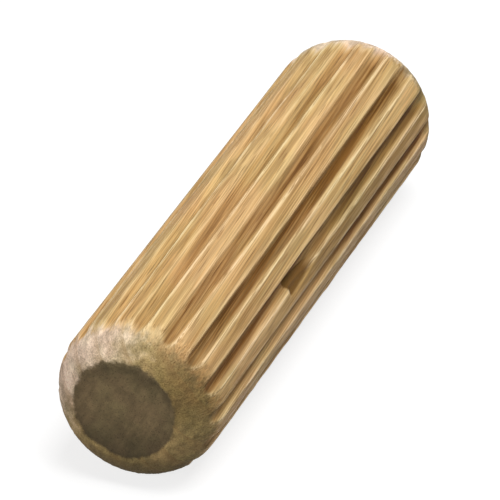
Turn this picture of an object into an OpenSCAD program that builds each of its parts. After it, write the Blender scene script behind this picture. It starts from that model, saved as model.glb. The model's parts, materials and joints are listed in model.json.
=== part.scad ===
// Fluted wooden dowel pin, lying along X with its middle at the origin.
// A turned blank with a round nose at each end, less the flutes that run along it.
// Each flute is cut as deep in the nose as on the shank, so it runs out where the nose
// has dropped below the flute's own root.

/* [Pin] */
// Diameter over the lands
pin_d = 10; // [8:0.5:12]
// Length between the two sawn faces
pin_len = 40; // [20:1:60]

/* [Noses] */
// Radius of the arc that rounds each end, tangent to the shank
nose_r = 3; // [2:0.1:4.5]
// Diameter of the flat sawn face that cuts each nose
face_d = 6.3; // [4.2:0.1:9.6]

/* [Flutes] */
// Number of flutes around the pin, even so that the pin lies on two lands
flute_count = 16; // [10:2:20]
// Radius of a flute's round bottom
flute_r = 0.45; // [0.3:0.05:0.6]
// Depth of the flutes below the lands
flute_depth = 0.35; // [0.15:0.05:0.4]

/* [Hidden] */
$fn = 96;
pin_r = pin_d / 2;
face_r = face_d / 2;
// the nose's arc has its centre this far from the axis
nose_core = pin_r - nose_r;
// and the sawn face cuts it this far beyond the shank
nose_len = sqrt(nose_r * nose_r - (face_r - nose_core) * (face_r - nose_core));
shank_len = pin_len - 2 * nose_len;
flute_pitch = 360 / flute_count;
// how far the centre of a flute's round bottom is from the pin's axis
flute_ring_r = pin_r - flute_depth + flute_r;
// the flutes are cut past both sawn faces
overrun = 1;
birch = [0.83, 0.68, 0.47];

// where a nose's arc has its centre, beside the middle of the pin
module at_noses() {
    for (side = [-1, 1])
        translate([nose_core, side * shank_len / 2])
            children();
}

// half the outline of the turned blank, from the axis outwards
module blank_outline() {
    intersection() {
        union() {
            translate([0, -shank_len / 2])
                square([pin_r, shank_len]);
            at_noses()
                circle(r = nose_r);
            translate([0, -pin_len / 2])
                square([nose_core, pin_len]);
        }
        translate([0, -pin_len / 2])
            square([pin_r, pin_len]);
    }
}

// the turned blank, standing on Z
module blank() {
    rotate_extrude()
        blank_outline();
}

// one flute, along the blank's +X side
module flute() {
    translate([flute_ring_r, 0, 0])
        cylinder(r = flute_r, h = pin_len + 2 * overrun, center = true, $fn = 32);
}

module flutes() {
    for (i = [0 : flute_count - 1])
        rotate([0, 0, i * flute_pitch])
            flute();
}

module dowel_pin() {
    color(birch)
        rotate([0, 90, 0])
            difference() {
                blank();
                flutes();
            }
}

dowel_pin();
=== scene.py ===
import json
import math

import bmesh
import bpy
from mathutils import Euler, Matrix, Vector


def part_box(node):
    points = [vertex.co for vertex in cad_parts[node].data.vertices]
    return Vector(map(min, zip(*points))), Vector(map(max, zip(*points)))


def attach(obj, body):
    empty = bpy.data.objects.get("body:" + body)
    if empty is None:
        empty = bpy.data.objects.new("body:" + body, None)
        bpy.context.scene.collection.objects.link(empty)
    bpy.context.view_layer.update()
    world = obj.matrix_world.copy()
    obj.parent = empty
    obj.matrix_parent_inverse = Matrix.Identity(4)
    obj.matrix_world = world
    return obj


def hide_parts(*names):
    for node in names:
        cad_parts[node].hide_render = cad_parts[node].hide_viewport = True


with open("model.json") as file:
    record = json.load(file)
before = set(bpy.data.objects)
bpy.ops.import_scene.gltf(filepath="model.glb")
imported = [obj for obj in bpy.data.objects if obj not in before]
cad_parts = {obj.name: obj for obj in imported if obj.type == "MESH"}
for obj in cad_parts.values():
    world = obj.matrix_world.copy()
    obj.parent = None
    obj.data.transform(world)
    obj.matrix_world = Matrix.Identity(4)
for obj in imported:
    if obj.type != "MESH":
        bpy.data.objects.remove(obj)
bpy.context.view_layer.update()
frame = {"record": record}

mm = 0.001
shank = next(mount for mount in frame["record"]["mounts"] if mount["name"] == "shank")
pinRadius = shank["dims"]["r_mm"] * mm
halfShank = shank["dims"]["length_mm"] / 2 * mm
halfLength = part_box("dowel_pin")[1].x
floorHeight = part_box("dowel_pin")[0].z


def deselectAll():
    if bpy.context.object and bpy.context.object.mode != "OBJECT":
        bpy.ops.object.mode_set(mode="OBJECT")
    bpy.ops.object.select_all(action="DESELECT")


def applyAll(piece):
    bpy.context.view_layer.objects.active = piece
    for modifier in list(piece.modifiers):
        bpy.ops.object.modifier_apply(modifier=modifier.name)


def smoothStep(low, high, value):
    share = min(1, max(0, (value - low) / (high - low)))
    return share * share * (3 - 2 * share)


def paintGroup(pin, name, weights):
    group = pin.vertex_groups.new(name=name)
    for index, weight in enumerate(weights):
        if weight > 0:
            group.add([index], min(1, weight), "REPLACE")


def paintMark(pin, name, values):
    mark = pin.data.attributes.new(name, "FLOAT", "POINT")
    mark.data.foreach_set("value", values)


# the blank: a ring drawn out along the shank, then round the nose; the sawn face is a square grid

blank = {
    "fluteColumns": 9,       # columns of faces from a flute's middle to its edge
    "landColumns": 5,        # and on to the middle of the land
    "shankRings": 52,        # cuts in each half of the shank
    "noseRings": 18,
    "noseRadius": 3 * mm,
    "faceSkin": (0.03 * mm, 0.005 * mm),  # how far inside its end the sawn face starts, and is full
}

flutes = {
    "count": 16,
    "bottomRadius": 0.45 * mm,
    "edgeRadius": 0.11 * mm,
    "depth": 0.40 * mm,
    "pressedLess": 0.11 * mm,  # how much shallower they are on the pale side
    "paleSide": 40,          # degrees from the top, where the flutes were pressed less
    "paleDepth": 0.27 * mm,  # a flute pressed no deeper than this has the wood's own colour
    "twist": 2.6,            # degrees that the flutes turn from the -X end of the shank to the other
    "wander": 0.3,           # and about how far each strays from its own line
    "waves": ((3, 9 * mm, 1), (5, -6 * mm, 0.6)),  # how many round, how slow along, and how strong
    "paleEdgeWidth": 0.165 * mm,  # how far the pale band, broken fibres with a painted highlight, reaches to each side of an edge
    "paleEdgeDepth": 0.1 * mm,   # edges are pale in full where a flute is this deep
    "darkDepth": 0.18 * mm,  # and its bottom is dark in full where it is this deep
    "darkFrom": (0.2, 0.9),  # the shares of its depth where the dark starts, and is full
    "otherSideEdge": 0.35,       # how pale a flute's other edge is; the edge on its -Y side, which gets the painted highlight, being 1
    "fullWeight": 0.6 * mm,  # the depth that a weight of 1 stands for
}

flutePitch = 360 / flutes["count"]
columnsEach = 2 * (blank["fluteColumns"] + blank["landColumns"])


def angleFromTop(co):
    return math.degrees(math.atan2(co.y, co.z))  # towards +Y is positive


def depthOf(number):
    off = (number * flutePitch - flutes["paleSide"] + 180) % 360 - 180
    return flutes["depth"] - flutes["pressedLess"] * max(0, math.cos(math.radians(off))) ** 2


def reachOf(depth):  # from a flute's middle to where its rounded edge meets the land
    return math.sqrt(depth * (2 * (flutes["bottomRadius"] + flutes["edgeRadius"]) - depth))


def columnAngle(column):  # closer together in the flutes, with one column on each edge
    number = round(column / columnsEach)
    step = column - number * columnsEach
    reach = math.degrees(reachOf(depthOf(number)) / pinRadius)
    if abs(step) <= blank["fluteColumns"]:
        off = reach * abs(step) / blank["fluteColumns"]
    else:
        share = (abs(step) - blank["fluteColumns"]) / blank["landColumns"]
        off = reach * (1 - share) + flutePitch / 2 * share
    return number * flutePitch + math.copysign(off, step)


def addRing(columns):  # and leaves it selected in edit mode
    deselectAll()
    bpy.ops.mesh.primitive_circle_add(vertices=columns, radius=pinRadius, rotation=(0, math.pi / 2, 0))
    pin = bpy.context.object
    pin.name = "fluted_pin"
    bpy.ops.object.transform_apply(rotation=True)
    bpy.ops.object.mode_set(mode="EDIT")
    ring = bmesh.from_edit_mesh(pin.data)
    for vertex in ring.verts:
        angle = math.radians(columnAngle(round(angleFromTop(vertex.co) * columns / 360)))
        vertex.co = (0, pinRadius * math.sin(angle), pinRadius * math.cos(angle))
    bmesh.update_edit_mesh(pin.data)
    bpy.ops.mesh.select_all(action="SELECT")
    return pin


def drawNose():  # from the ring that is selected, each new one a little further round
    noseRadius, rings = blank["noseRadius"], blank["noseRings"]
    core = pinRadius - noseRadius
    noseEnd = math.asin((halfLength - halfShank) / noseRadius)
    for ring in range(rings):
        here = noseEnd * ring / rings
        there = noseEnd * (ring + 1) / rings
        forward = noseRadius * (math.sin(there) - math.sin(here))
        shrink = (core + noseRadius * math.cos(there)) / (core + noseRadius * math.cos(here))
        bpy.ops.mesh.extrude_region_move(TRANSFORM_OT_translate={"value": (forward, 0, 0)})
        bpy.ops.transform.resize(value=(1, shrink, shrink))


def cutRings(pin):  # across the long faces, from the middle to each nose
    body = bmesh.from_edit_mesh(pin.data)
    for edge in body.edges:
        one, two = edge.verts
        edge.select_set(abs(one.co.x - two.co.x) > halfShank * 0.9)
    bmesh.update_edit_mesh(pin.data)
    bpy.ops.mesh.subdivide_edgering(number_cuts=blank["shankRings"], interpolation="LINEAR", smoothness=0)


def turnBlank():
    columns = flutes["count"] * columnsEach
    pin = addRing(columns)
    bpy.ops.mesh.extrude_region_move(TRANSFORM_OT_translate={"value": (halfShank, 0, 0)})
    drawNose()
    bpy.ops.mesh.fill_grid(span=columns // 4)
    bpy.ops.object.mode_set(mode="OBJECT")

    mirror = pin.modifiers.new("other half", "MIRROR")
    mirror.merge_threshold = 0.001 * mm
    applyAll(pin)

    bpy.ops.object.mode_set(mode="EDIT")
    cutRings(pin)
    bpy.ops.mesh.select_all(action="SELECT")
    bpy.ops.mesh.normals_make_consistent(inside=False)
    bpy.ops.object.mode_set(mode="OBJECT")
    bpy.ops.object.shade_smooth()
    return pin


def acrossGrain(co):  # 0 on the shank, and up to 1 as the nose turns the wood's end outwards
    if math.hypot(co.y, co.z) < pinRadius - blank["noseRadius"]:
        return 1 if abs(co.x) > halfShank else 0
    return min(1, max(0, abs(co.x) - halfShank) / blank["noseRadius"])


def sawnFace(co):  # 1 on the sawn face
    starts, full = blank["faceSkin"]
    return smoothStep(halfLength - starts, halfLength - full, abs(co.x))


# the flutes, painted as a weight and then sunk, and after that let stray a little

def fluteAt(co):  # how deep the flute is here, how near its pale edge, worn and with a painted highlight, and how dark, partly stain and partly painted shade
    radius = math.hypot(co.y, co.z)
    angle = angleFromTop(co)
    number = round(angle / flutePitch)
    depth = depthOf(number) - (pinRadius - radius)
    if depth <= 0 or sawnFace(co) > 0:
        return 0, 0, 0
    side = radius * math.sin(math.radians(angle - number * flutePitch))
    off = abs(side)
    bottom, edge, reach = flutes["bottomRadius"], flutes["edgeRadius"], reachOf(depth)
    wornAndHighlight = max(0, 1 - abs(off - reach) / flutes["paleEdgeWidth"])
    wornAndHighlight *= smoothStep(0, flutes["paleEdgeDepth"], depth)
    wornAndHighlight *= 1 if side < 0 else flutes["otherSideEdge"]
    if off >= reach:
        return 0, wornAndHighlight, 0
    if off > reach * bottom / (bottom + edge):
        cut = edge - math.sqrt(edge ** 2 - (reach - off) ** 2)
    else:
        cut = depth - bottom + math.sqrt(bottom ** 2 - off ** 2)
    # the dark bottom of a flute is partly stain and partly painted shade in the groove
    pressed = (depthOf(number) - flutes["paleDepth"]) / (flutes["depth"] - flutes["paleDepth"])
    dark = max(0, pressed) * smoothStep(*flutes["darkFrom"], cut / depth)
    dark *= smoothStep(0, flutes["darkDepth"], depth)
    return cut / math.sqrt(1 - acrossGrain(co) ** 2), wornAndHighlight, dark


def strayAt(co):  # how far round a point has strayed from its flute's own line
    angle = math.atan2(co.y, co.z)
    twist = flutes["twist"] * min(1, max(0, 0.5 + co.x / halfShank / 2))
    wave = sum(size * math.sin(count * angle + co.x / along) for count, along, size in flutes["waves"])
    return math.radians(twist + flutes["wander"] * wave * (1 - acrossGrain(co)))


def cutFlutes(pin):
    depths, edges, darks = zip(*[fluteAt(vertex.co) for vertex in pin.data.vertices])
    paintGroup(pin, "flutes", [depth / flutes["fullWeight"] for depth in depths])
    paintGroup(pin, "edges", edges)
    paintMark(pin, "stainAndShade", darks)
    paintMark(pin, "wornAndHighlight", edges)
    sink = pin.modifiers.new("flutes", "DISPLACE")
    sink.vertex_group = "flutes"
    sink.strength = -flutes["fullWeight"]
    sink.mid_level = 0
    applyAll(pin)
    for vertex in pin.data.vertices:
        stray = strayAt(vertex.co)
        x, y, z = vertex.co
        vertex.co.y = y * math.cos(stray) + z * math.sin(stray)
        vertex.co.z = z * math.cos(stray) - y * math.sin(stray)


# the nick: a splinter torn out of the flank, deep at one end

nick = {
    "x": -6.1 * mm,          # its deep end; it runs out along the grain from there
    "angle": -71,            # degrees from the top, on the low side of a flute
    "length": 5.0 * mm,
    "width": 1.4 * mm,
    "depth": 0.40 * mm,
    "step": 0.13,            # share of its length over which the deep end falls away
    "taper": 0.6,            # how bluntly it narrows to its shallow end
    "bottom": 0.5,           # share of its width that is at its full depth
    "color": (0.155, 0.075, 0.012, 1),
    "shows": (0.05, 0.45),   # how deep in it, of 1, the colour starts and is full
}


def nickAt(co):
    share = (co.x - nick["x"]) / nick["length"]
    if not 0 < share < 1:
        return 0
    around = math.radians(angleFromTop(co) - nick["angle"]) * pinRadius
    halfWidth = nick["width"] / 2 * (1 - share) ** nick["taper"]
    deep = smoothStep(0, nick["step"], share) * (1 - share)
    return deep * (1 - smoothStep(nick["bottom"], 1, abs(around) / halfWidth))


def tearNick(pin):
    nicked = [nickAt(vertex.co) for vertex in pin.data.vertices]
    paintGroup(pin, "nicked", nicked)
    paintMark(pin, "nick", nicked)
    gouge = pin.modifiers.new("nick", "DISPLACE")
    gouge.vertex_group = "nicked"
    gouge.direction = "Y"    # straight in: along the normals a flute's rounded edge would fold over
    gouge.strength = nick["depth"]
    gouge.mid_level = 0
    applyAll(pin)


# the finish that the tools left: fibres, torn grain on the noses, saw marks on the faces

finish = {                   # length, width and height of each kind of mark, its detail and contrast
    "swell": (22 * mm, 5 * mm, 0.05 * mm, 1, 1.0),
    "fibres": (12 * mm, 0.24 * mm, 0.035 * mm, 3, 1.0),
    "splinters": (1.6 * mm, 0.3 * mm, 0.10 * mm, 3, 1.5),
    "torn": (0.7 * mm, 0.26 * mm, 0.07 * mm, 3, 1.3),
    "turning": (0.9 * mm, 9 * mm, 0.035 * mm, 2, 1.0),
    "saw": (5 * mm, 0.22 * mm, 0.05 * mm, 1, 1.2),
    "sawTurn": 25,           # degrees that the saw marks lean
    "noseFull": 0.35,        # how far across the grain the marks on the nose are full
}


def cloudTexture(name, detail, contrast):
    texture = bpy.data.textures.new(name, "CLOUDS")
    texture.noise_basis = "IMPROVED_PERLIN"
    texture.noise_scale = 1
    texture.noise_depth = detail
    texture.contrast = contrast
    return texture


def roughen(pin, name, group=""):
    length, width, height, detail, contrast = finish[name]
    grid = bpy.data.objects.new(name + " grid", None)
    bpy.context.scene.collection.objects.link(grid)
    layer = pin.modifiers.new(name, "DISPLACE")
    if name == "saw":        # down the face, where the other marks run along the pin
        grid.scale = (1, width, length)
        grid.rotation_euler.x = math.radians(finish["sawTurn"])
        layer.direction = "X"
    else:
        grid.scale = (length, width, width)
    layer.texture = cloudTexture(name, detail, contrast)
    layer.texture_coords = "OBJECT"
    layer.texture_coords_object = grid
    layer.strength = height
    layer.mid_level = 0.5
    layer.vertex_group = group
    bpy.context.view_layer.update()
    applyAll(pin)
    bpy.data.objects.remove(grid)


def workSurface(pin):
    across = [acrossGrain(vertex.co) for vertex in pin.data.vertices]
    faces = [sawnFace(vertex.co) for vertex in pin.data.vertices]
    noses = [smoothStep(0, finish["noseFull"], share) for share in across]
    paintGroup(pin, "long grain", [1 - share for share in across])
    paintGroup(pin, "nose", [share * (1 - face) for share, face in zip(noses, faces)])
    paintGroup(pin, "face", faces)
    roughen(pin, "swell")
    roughen(pin, "fibres", "long grain")
    roughen(pin, "splinters", "edges")
    roughen(pin, "torn", "nose")
    roughen(pin, "turning", "nose")
    roughen(pin, "saw", "face")


# shader nodes: each helper adds its node to the tree that its sockets are in

def add(tree, kind, inputs=None, **settings):
    node = tree.nodes.new("ShaderNode" + kind)
    for name, value in settings.items():
        setattr(node, name, value)
    for name, value in (inputs or {}).items():
        if isinstance(value, bpy.types.NodeSocket):
            tree.links.new(value, node.inputs[name])
        else:
            node.inputs[name].default_value = value
    return node


def maths(operation, one, two=0.0):
    return add(one.id_data, "Math", {0: one, 1: two}, operation=operation).outputs[0]


def plus(one, two):
    return maths("ADD", one, two)


def times(one, two):
    return maths("MULTIPLY", one, two)


def minus(one, two):
    return maths("SUBTRACT", one, two)


def remap(value, low, high, toLow=0.0, toHigh=1.0):
    return add(value.id_data, "MapRange", {
        "Value": value, "From Min": low, "From Max": high, "To Min": toLow, "To Max": toHigh,
    }, interpolation_type="SMOOTHSTEP").outputs["Result"]


def mapped(source, scale, location=(0, 0, 0)):
    return add(source.id_data, "Mapping", {
        "Vector": source, "Scale": scale, "Location": location}).outputs["Vector"]


def turned(source, degrees):
    return add(source.id_data, "Mapping", {
        "Vector": source, "Rotation": [math.radians(turn) for turn in degrees]}).outputs["Vector"]


def noise(source, stretch, scale, detail, roughness, location=(0, 0, 0)):
    return add(source.id_data, "TexNoise", {
        "Vector": mapped(source, stretch, location), "Scale": scale,
        "Detail": detail, "Roughness": roughness,
    }).outputs["Fac"]


def towards(place, degrees, rise=0):  # how far off the axis on one side, in mm
    turn = math.radians(degrees)
    return add(place.id_data, "VectorMath", {
        0: place, 1: (rise, math.sin(turn), math.cos(turn))}, operation="DOT_PRODUCT").outputs["Value"]


def mix(share, one, two, blend="MIX"):
    tree = next(value.id_data for value in (share, one, two) if isinstance(value, bpy.types.NodeSocket))
    return add(tree, "Mix", {0: share, 6: one, 7: two}, data_type="RGBA", blend_type=blend).outputs[2]


def multiply(color, tone):
    return mix(1.0, color, tone, "MULTIPLY")


def tint(share, color, tone):
    return mix(share, color, multiply(color, tone))


def grey(share):
    return (share, share, share, 1)


def shade(color, share, none, full):
    return multiply(color, mix(share, grey(none), grey(full)))


def shadeBy(shades, patterns, color):
    for name, low, high, atLow, atHigh in shades:
        color = shade(color, remap(patterns[name], low, high), atLow, atHigh)
    return color


# wood: one solid pattern, so that the lines on the side meet the marks on the end; in mm and degrees

wood = {
    "dark": (0.47, 0.265, 0.090, 1),
    "middle": (0.65, 0.405, 0.165, 1),
    "light": (0.75, 0.505, 0.23, 1),
    "tonesAt": (0.32, 0.47, 0.64),           # the values of "streaks" that have these three
    "ringLine": (0.40, 0.225, 0.085, 1),
    "vessel": (0.24, 0.12, 0.040, 1),
    "fleck": (0.30, 0.13, 0.040, 1),
    "ringsShow": (0.72, 0.98, 0.0, 0.4),     # two values of "rings", and how much of a line shows
    "vesselsShow": 0.5,
    "flecksShow": 0.55,
    "pink": (1.03, 0.99, 0.98, 1),           # slow changes of hue
    "olive": (0.975, 1.0, 0.945, 1),
    "huesAt": (0.38, 0.62),                  # the values of "hues" that have these two
    "roughness": (0.35, 0.65, 0.70, 0.52),   # two values of "lines", and the roughness at each
    "gloss": 0.3,
    "bumpHeight": 0.035 * mm,
    "bumps": {"lines": 1.2, "streaks": 0.6, "vessel": -0.3, "fleck": -0.4},  # shares of that
    "ringPitch": 1.6,
    "ringWaver": {"Distortion": 2.6, "Detail": 3.0, "Detail Scale": 0.8},
    "pith": (0, 31, -24),                    # from the pin's axis to the tree's
    "slope": (0, 1.2, -1.6),                 # how far the grain runs out of the pin's axis
    "shades": (                              # a pattern, two of its values, and the shade at each
        ("broad", 0.35, 0.65, 0.90, 1.06),
        ("lines", 0.38, 0.60, 0.76, 1.09),
    ),
    "patterns": {                            # scale each way, features to a mm, detail, roughness, shift
        "patches": ((1, 1, 1), 1.1, 4.0, 0.6),
        "specks": ((0.6, 1, 1), 2.4, 3.0, 0.6),
        "broad": ((0.03, 1, 1), 0.7, 3.0, 0.55),
        "streaks": ((0.02, 1, 1), 3.0, 6.0, 0.62),
        "lines": ((0.008, 1, 1), 12.0, 2.0, 0.6),
        "hues": ((0.3, 1, 1), 0.45, 2.0, 0.55, (7, 3, 5)),
        "rays": ((1, 0.1, 1), 8.0, 2.0, 0.55),
        "scratches": ((1, 1, 0.05), 3.6, 4.0, 0.65),
    },
    "cells": {                               # scale each way, cells to a mm, a mark's outside and inside
        "vessel": ((0.03, 1, 1), 6.5, 0.27, 0.13),
        "fleck": ((0.06, 1, 1), 2.3, 0.13, 0.07),
    },
}


def cells(source, stretch, scale, outside, inside):  # small marks, each round the middle of a cell
    distance = add(source.id_data, "TexVoronoi", {"Vector": mapped(source, stretch), "Scale": scale})
    return remap(distance.outputs["Distance"], outside, inside)


def growthRings(grain):  # at scale 1 they are pi / 10 apart
    return add(grain.id_data, "TexWave", {
        "Vector": mapped(grain, (0.04, 1, 1), [-part for part in wood["pith"]]),
        "Scale": math.pi / 10 / wood["ringPitch"], **wood["ringWaver"],
    }, wave_type="RINGS", rings_direction="X", wave_profile="SAW").outputs["Fac"]


def woodPatterns(tree):
    place = mapped(add(tree, "TexCoord").outputs["Object"], (1000, 1000, 1000))
    grain = turned(place, wood["slope"])
    toPith = math.degrees(math.atan2(wood["pith"][2], wood["pith"][1]))
    sources = {
        "patches": place, "specks": place, "broad": grain, "streaks": grain, "lines": grain, "hues": grain,
        "rays": turned(place, (-toPith, 0, 0)), "scratches": turned(place, (-finish["sawTurn"], 0, 0)),
    }
    patterns = {name: noise(sources[name], *sizes) for name, sizes in wood["patterns"].items()}
    for name, sizes in wood["cells"].items():
        patterns[name] = cells(grain, *sizes)
    patterns["rings"] = growthRings(grain)
    for name in ("stainAndShade", "wornAndHighlight", "nick"):
        patterns[name] = add(tree, "Attribute", attribute_name=name).outputs["Fac"]
    patterns["place"] = place
    split = add(tree, "SeparateXYZ", {"Vector": place}).outputs
    patterns["x"], patterns["z"] = split["X"], split["Z"]
    patterns["fromMiddle"] = maths("ABSOLUTE", split["X"])
    radial = add(tree, "VectorMath", {0: mapped(place, (0, 1, 1))}, operation="LENGTH")
    patterns["fromAxis"] = radial.outputs["Value"]
    return patterns


def woodTone(patterns):
    tone = add(patterns["streaks"].id_data, "ValToRGB", {"Fac": patterns["streaks"]})
    first, last = tone.color_ramp.elements
    first.position, middleAt, last.position = wood["tonesAt"]
    first.color, last.color = wood["dark"], wood["light"]
    tone.color_ramp.elements.new(middleAt).color = wood["middle"]
    color = shadeBy(wood["shades"], patterns, tone.outputs["Color"])
    color = mix(remap(patterns["rings"], *wood["ringsShow"]), color, wood["ringLine"])
    color = mix(times(patterns["vessel"], wood["vesselsShow"]), color, wood["vessel"])
    return mix(times(patterns["fleck"], wood["flecksShow"]), color, wood["fleck"])


# the flank: painted shade along its low side, pale edges along the flutes, partly broken fibres and partly
# painted highlight, and their dark bottoms, partly stain and partly painted shade

flank = {
    "layer": (0.54, 0.52, 0.37, 1),          # what the painted shade on the low flank leaves of the colour
    "flankShadeSide": -77,                        # where the painted shade is centred, from the top
    "flankShadeLean": -0.04,                      # how far it leans across for each mm along
    "flankShadeHalf": (1.6, 0.65),                # from its middle to where it ends, and to where it is full
    "flankShadeRagged": 0.6,                      # how much the streaks add to that
    "flankShadeAlong": (-18, 2, 0.05, 1.0),       # two places along the pin, and how much shows at each
    # the pale colour of broken fibres, also used for the painted highlights on the edges and the shoulder
    "edge": (1.0, 0.78, 0.46, 1),
    "edgeBreaks": (0.43, 0.55, 0.15, 0.90),  # two values of "lines", and how much shows at each
    "flute": (0.34, 0.235, 0.085, 1),        # what the bottom of a dark flute, partly stain and partly painted shade, leaves of the colour
    "fluteShows": (                          # each row: a pattern, two of its values, and how much shows
        ("streaks", 0.34, 0.62, 1.25, 0.75),
        ("broad", 0.3, 0.7, 1.10, 0.80),
        ("x", -20, 20, 0.80, 1.05),
        ("x", 16.0, 17.6, 1.0, 0.45),
    ),
    "fadesBelow": (1.5, 0.2),                # low on the pin the flutes are paler at the -X end
    "fadesAlong": (-8, 6, 0.7, -0.2),        # two places along the pin, and how much is lost at each
}


# painted shade: the low flank darker, more so towards the +X end
def paintFlankShade(color, patterns):
    layer = maths("ABSOLUTE", towards(patterns["place"], flank["flankShadeSide"] + 90, flank["flankShadeLean"]))
    layer = remap(plus(layer, times(patterns["streaks"], flank["flankShadeRagged"])), *flank["flankShadeHalf"])
    layer = times(layer, remap(patterns["x"], *flank["flankShadeAlong"]))
    return tint(layer, color, flank["layer"])


# pale edges: partly broken fibres, partly a painted highlight on the -Y edge of each flute
def showWornAndLitEdges(color, patterns):
    wornAndHighlight = times(patterns["wornAndHighlight"], remap(patterns["lines"], *flank["edgeBreaks"]))
    return mix(wornAndHighlight, color, flank["edge"])


# stain and painted shade at the bottoms of the flutes
def darkenFlutes(color, patterns):
    dark = patterns["stainAndShade"]
    for name, *shows in flank["fluteShows"]:
        dark = times(dark, remap(patterns[name], *shows))
    faded = times(remap(patterns["z"], *flank["fadesBelow"]), remap(patterns["x"], *flank["fadesAlong"]))
    return tint(minus(dark, times(dark, faded)), color, flank["flute"])


# the noses: raised fibres with painted light on the upper side, bare end grain below, painted shade on one
# side and towards the bottom, and a painted highlight at the shoulder

nose = {
    "endGrain": (0.41, 0.295, 0.125, 1),
    # raised fibres, partly painted light on the nose's upper side
    "fuzzAndLight": (1.0, 0.79, 0.62, 1),
    "sideShade": (0.60, 0.57, 0.48, 1),        # what the painted shade on that side leaves of the colour
    "fuzzAndLightSide": 54,                          # from the top, as the next two are
    "shadedSide": -58,
    "crestSide": 8,                          # a painted highlight at the top of the shoulder
    "shows": 0.9,                            # how much of its own colour it has
    "rougher": 0.2,
    "ragged": 2.6,                           # how far the streaks push its edge back
    "slanted": 0.18,                         # and how far each mm towards the fuzz, or away, does
    "begins": (19.7, 20.7),                  # along the pin, as the next two are, with both added
    "crestBegins": (19.2, 19.9),
    "sideShadeBegins": (18.8, 20.4),
    "crestHeight": (3.6, 4.6),               # towards its side
    "crestShows": 0.33,
    "fuzzAndLightHeight": (2.9, 6.2),                # towards its side, with this much of the patches added
    "fuzzAndLightPatches": 3.6,
    "sideShadeWidth": (0.85, 1.15),             # cosines from its side, with this much of them added
    "sideShadePatches": 0.25,
    "farEnd": (12, 17),                      # along the pin: the +X end is all fuzz and painted light, and has no painted shade on its side
    "farFuzzAndLight": 3.5,
    "farStart": 0.7,                         # and it begins this much sooner
    "ringsShow": (0.6, 0.98, 0.0, 0.3),
    "vesselsShow": (0, 1, 0.5, 0.15),        # no fuzz and light, and full fuzz and light, and how much shows on each
    "specks": ((0.80, 0.93), (1.18, 1.08)),  # the dark and the light ones, on bare wood and on the fuzz and light
    "specksAt": (0.36, 0.64),
    "grainShades": (
        ("patches", 0.36, 0.64, 0.80, 1.20),
        ("lines", 0.38, 0.62, 0.82, 1.08),
    ),
    "roundShades": (
        ("fromMiddle", 18.6, 19.5, 0.86, 1.0),
        # painted shade: darker towards the bottom of the nose, near the floor
        ("z", -4.0, -1.6, 0.34, 1.0),
    ),
}


def placeNose(patterns):  # adds how much of the nose shows, and what that is made from
    patterns["farEnd"] = remap(patterns["x"], *nose["farEnd"])
    patterns["upper"] = towards(patterns["place"], nose["fuzzAndLightSide"])
    slanted = times(maths("ABSOLUTE", patterns["upper"]), nose["slanted"])
    ragged = plus(times(patterns["streaks"], nose["ragged"]), slanted)
    endwards = plus(patterns["fromMiddle"], ragged)
    patterns["endwards"] = plus(endwards, times(patterns["farEnd"], nose["farStart"]))
    patterns["onNose"] = remap(patterns["endwards"], *nose["begins"])


def noseTone(patterns):
    fuzzAndLight = plus(patterns["upper"], times(patterns["patches"], nose["fuzzAndLightPatches"]))
    fuzzAndLight = remap(plus(fuzzAndLight, times(patterns["farEnd"], nose["farFuzzAndLight"])), *nose["fuzzAndLightHeight"])
    tone = shadeBy(nose["grainShades"], patterns, mix(fuzzAndLight, nose["endGrain"], nose["fuzzAndLight"]))
    dark, light = [mix(fuzzAndLight, grey(bare), grey(fuzzy)) for bare, fuzzy in nose["specks"]]
    tone = multiply(tone, mix(remap(patterns["specks"], *nose["specksAt"]), dark, light))
    tone = mix(remap(patterns["rings"], *nose["ringsShow"]), tone, wood["ringLine"])
    tone = mix(times(patterns["vessel"], remap(fuzzAndLight, *nose["vesselsShow"])), tone, wood["vessel"])
    return shadeBy(nose["roundShades"], patterns, tone)


# painted highlight: the top of the shoulder, just before the nose, lighter
def paintShoulderHighlight(color, patterns):
    crest = remap(towards(patterns["place"], nose["crestSide"]), *nose["crestHeight"])
    crest = times(remap(patterns["endwards"], *nose["crestBegins"]), crest)
    return mix(times(crest, nose["crestShows"]), color, flank["edge"])


# painted shade: one side of the nose darker, away from the +X end
def shadeNoseSide(color, patterns):
    sideShadeShare = maths("DIVIDE", towards(patterns["place"], nose["shadedSide"]), patterns["fromAxis"])
    sideShadeShare = remap(plus(sideShadeShare, times(patterns["patches"], nose["sideShadePatches"])), *nose["sideShadeWidth"])
    sideShadeShare = times(sideShadeShare, remap(patterns["endwards"], *nose["sideShadeBegins"]))
    return tint(minus(sideShadeShare, times(sideShadeShare, patterns["farEnd"])), color, nose["sideShade"])


# the sawn faces: dark end grain with a paler rim, which is broader on one side, and painted shade towards
# the bottom

sawn = {
    "tone": (0.25, 0.18, 0.09, 1),
    "side": 20,                              # the dark disc lies a little towards here, from the top
    "shift": 0.1,                            # and this much of its radius
    "rim": (3.57, 3.33),                     # from the axis, with this much of the patches added
    "rimPatches": 0.7,
    "begins": (19.2, 19.5),                  # along the pin
    "darkSide": -15,                         # the disc is darker again at this edge
    "darkHeight": (1.7, 2.6, 1.0, 0.84),     # two distances towards it, and the shade at each
    "scratchBump": 1.2,
    "lateRings": (0.2, 1.0),                 # the rings show as late wood, where the patches let them
    "latePatches": (0.38, 0.58),
    "lateShade": 0.90,
    "vesselShade": 0.60,
    "shades": (
        ("patches", 0.36, 0.64, 0.78, 1.16),
        # painted shade: the face darker towards the bottom, near the floor
        ("z", -2.9, 0.4, 0.45, 1.0),
        ("rays", 0.45, 0.62, 0.98, 1.05),
        ("scratches", 0.40, 0.62, 0.94, 1.03),
        ("fromAxis", 2.3, 3.3, 1.06, 0.76),
    ),
}


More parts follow.
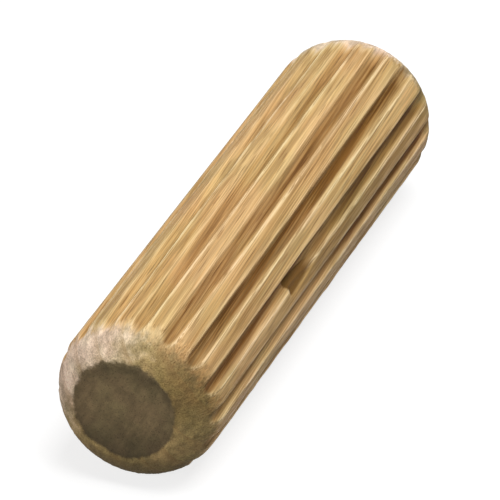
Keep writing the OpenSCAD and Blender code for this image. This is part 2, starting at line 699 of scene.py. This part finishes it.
def placeFace(patterns):  # adds how much of the sawn face's own colour shows
    rim = minus(patterns["fromAxis"], times(towards(patterns["place"], sawn["side"]), sawn["shift"]))
    rim = remap(plus(rim, times(patterns["patches"], sawn["rimPatches"])), *sawn["rim"])
    patterns["onFace"] = times(rim, remap(patterns["fromMiddle"], *sawn["begins"]))


def sawnTone(patterns):
    tone = shadeBy(sawn["shades"], patterns, sawn["tone"])
    late = remap(patterns["rings"], *sawn["lateRings"])
    late = times(late, remap(patterns["patches"], *sawn["latePatches"]))
    tone = shade(tone, late, 1.0, sawn["lateShade"])
    low, high, atLow, atHigh = sawn["darkHeight"]
    tone = shade(tone, remap(towards(patterns["place"], sawn["darkSide"]), low, high), atLow, atHigh)
    return shade(tone, patterns["vessel"], 1.0, sawn["vesselShade"])


# birch: all of these over one another, and then the sheen and the fine relief

def birchColor(patterns):
    color = woodTone(patterns)
    color = paintFlankShade(color, patterns)
    color = showWornAndLitEdges(color, patterns)
    color = paintShoulderHighlight(color, patterns)
    color = mix(times(patterns["onNose"], nose["shows"]), color, noseTone(patterns))
    color = shadeNoseSide(color, patterns)
    color = darkenFlutes(color, patterns)
    color = mix(patterns["onFace"], color, sawnTone(patterns))
    color = mix(remap(patterns["nick"], *nick["shows"]), color, nick["color"])
    hue = mix(remap(patterns["hues"], *wood["huesAt"]), wood["pink"], wood["olive"])
    return multiply(color, hue)


def birchRelief(patterns):
    relief = times(times(patterns["onFace"], patterns["scratches"]), sawn["scratchBump"])
    for name, height in wood["bumps"].items():
        relief = plus(relief, times(patterns[name], height))
    bump = add(relief.id_data, "Bump", {"Height": relief, "Strength": 1.0, "Distance": wood["bumpHeight"]})
    return bump.outputs["Normal"]


def birch():
    mat = bpy.data.materials.new("birch")
    mat.use_nodes = True
    links = mat.node_tree.links
    shader = mat.node_tree.nodes["Principled BSDF"]
    patterns = woodPatterns(mat.node_tree)
    placeNose(patterns)
    placeFace(patterns)
    rough = remap(patterns["lines"], *wood["roughness"])
    rough = plus(rough, times(patterns["onNose"], nose["rougher"]))
    links.new(birchColor(patterns), shader.inputs["Base Color"])
    links.new(rough, shader.inputs["Roughness"])
    links.new(birchRelief(patterns), shader.inputs["Normal"])
    shader.inputs["Specular IOR Level"].default_value = wood["gloss"]
    return mat


# the stage

studio = {
    "floorSize": 0.6,        # metres, as the lamps' sizes and distance are
    "floorColor": (0.28, 0.28, 0.28, 1),
    "floorRoughness": 0.9,
    "floorGlow": 0.79,
    "worldLight": 0.13,
    "lampDistance": 0.7,
    "lamps": {               # watts, size, degrees round from +X, degrees above the floor
        "key": (5.2, 0.45, -90, 76),
        "fill": (1.15, 0.30, 155, 22),
    },
}

camera = {
    "lens": 494,             # mm
    "distance": 407 * mm,
    "lookDown": 30.5,        # degrees, as the next two are
    "turn": 20.27,           # between the pin's axis and the line of sight, from above
    "roll": 1.0,
}


def direction(turn, height):
    turn, height = math.radians(turn), math.radians(height)
    return Vector((math.cos(turn) * math.cos(height), math.sin(turn) * math.cos(height), math.sin(height)))


def seenBy(tree, one, two):  # 1 for these two kinds of ray, and 0 for the others
    rays = add(tree, "LightPath").outputs
    return maths("MAXIMUM", rays[one], rays[two])


def paper():
    mat = bpy.data.materials.new("paper")
    mat.use_nodes = True
    tree = mat.node_tree
    shader = tree.nodes["Principled BSDF"]
    shader.inputs["Base Color"].default_value = studio["floorColor"]
    shader.inputs["Roughness"].default_value = studio["floorRoughness"]
    shader.inputs["Emission Color"].default_value = (1, 1, 1, 1)
    seen = seenBy(tree, "Is Camera Ray", "Is Glossy Ray")
    tree.links.new(times(seen, studio["floorGlow"]), shader.inputs["Emission Strength"])
    return mat


def layFloor():
    deselectAll()
    bpy.ops.mesh.primitive_plane_add(size=studio["floorSize"], location=(0, 0, floorHeight))
    floor = bpy.context.object
    floor.name = "floor"
    floor.data.materials.append(paper())


def lightWorld():  # white to the camera, and dim as a light
    world = bpy.data.worlds.new("studio")
    bpy.context.scene.world = world
    world.use_nodes = True
    tree = world.node_tree
    background = tree.nodes["Background"]
    background.inputs["Color"].default_value = (1, 1, 1, 1)
    seen = seenBy(tree, "Is Camera Ray", "Is Transmission Ray")
    strength = add(tree, "MapRange", {"Value": seen, "To Min": studio["worldLight"], "To Max": 1})
    tree.links.new(strength.outputs["Result"], background.inputs["Strength"])


def hangLamps():
    for name, (power, size, turn, height) in studio["lamps"].items():
        place = direction(turn, height) * studio["lampDistance"]
        bpy.ops.object.light_add(type="AREA", location=place)
        lamp = bpy.context.object
        lamp.name = name
        lamp.data.shape = "SQUARE"
        lamp.data.size = size
        lamp.data.energy = power
        lamp.rotation_euler = (-place).to_track_quat("-Z", "Y").to_euler()
        lamp.visible_camera = False


def placeCamera():
    sight = direction(camera["turn"], -camera["lookDown"])
    bpy.ops.object.camera_add(location=-sight * camera["distance"])
    cam = bpy.context.object
    cam.data.lens = camera["lens"]
    cam.data.clip_start = 0.01
    cam.data.clip_end = 20
    turn = sight.to_track_quat("-Z", "Y")
    roll = Euler((0, 0, math.radians(camera["roll"]))).to_quaternion()
    cam.rotation_mode = "QUATERNION"
    cam.rotation_quaternion = turn @ roll
    bpy.context.scene.camera = cam


pin = turnBlank()
print("blank turned:", len(pin.data.polygons), "faces")
cutFlutes(pin)
print("flutes cut")
tearNick(pin)
print("nick torn")
workSurface(pin)
print("surface worked")
pin.data.materials.append(birch())
print("birch laid on")
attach(pin, "root")
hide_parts("dowel_pin")
layFloor()
lightWorld()
hangLamps()
placeCamera()
bpy.context.scene.view_settings.view_transform = "Standard"
print("floor, lamps and camera placed")
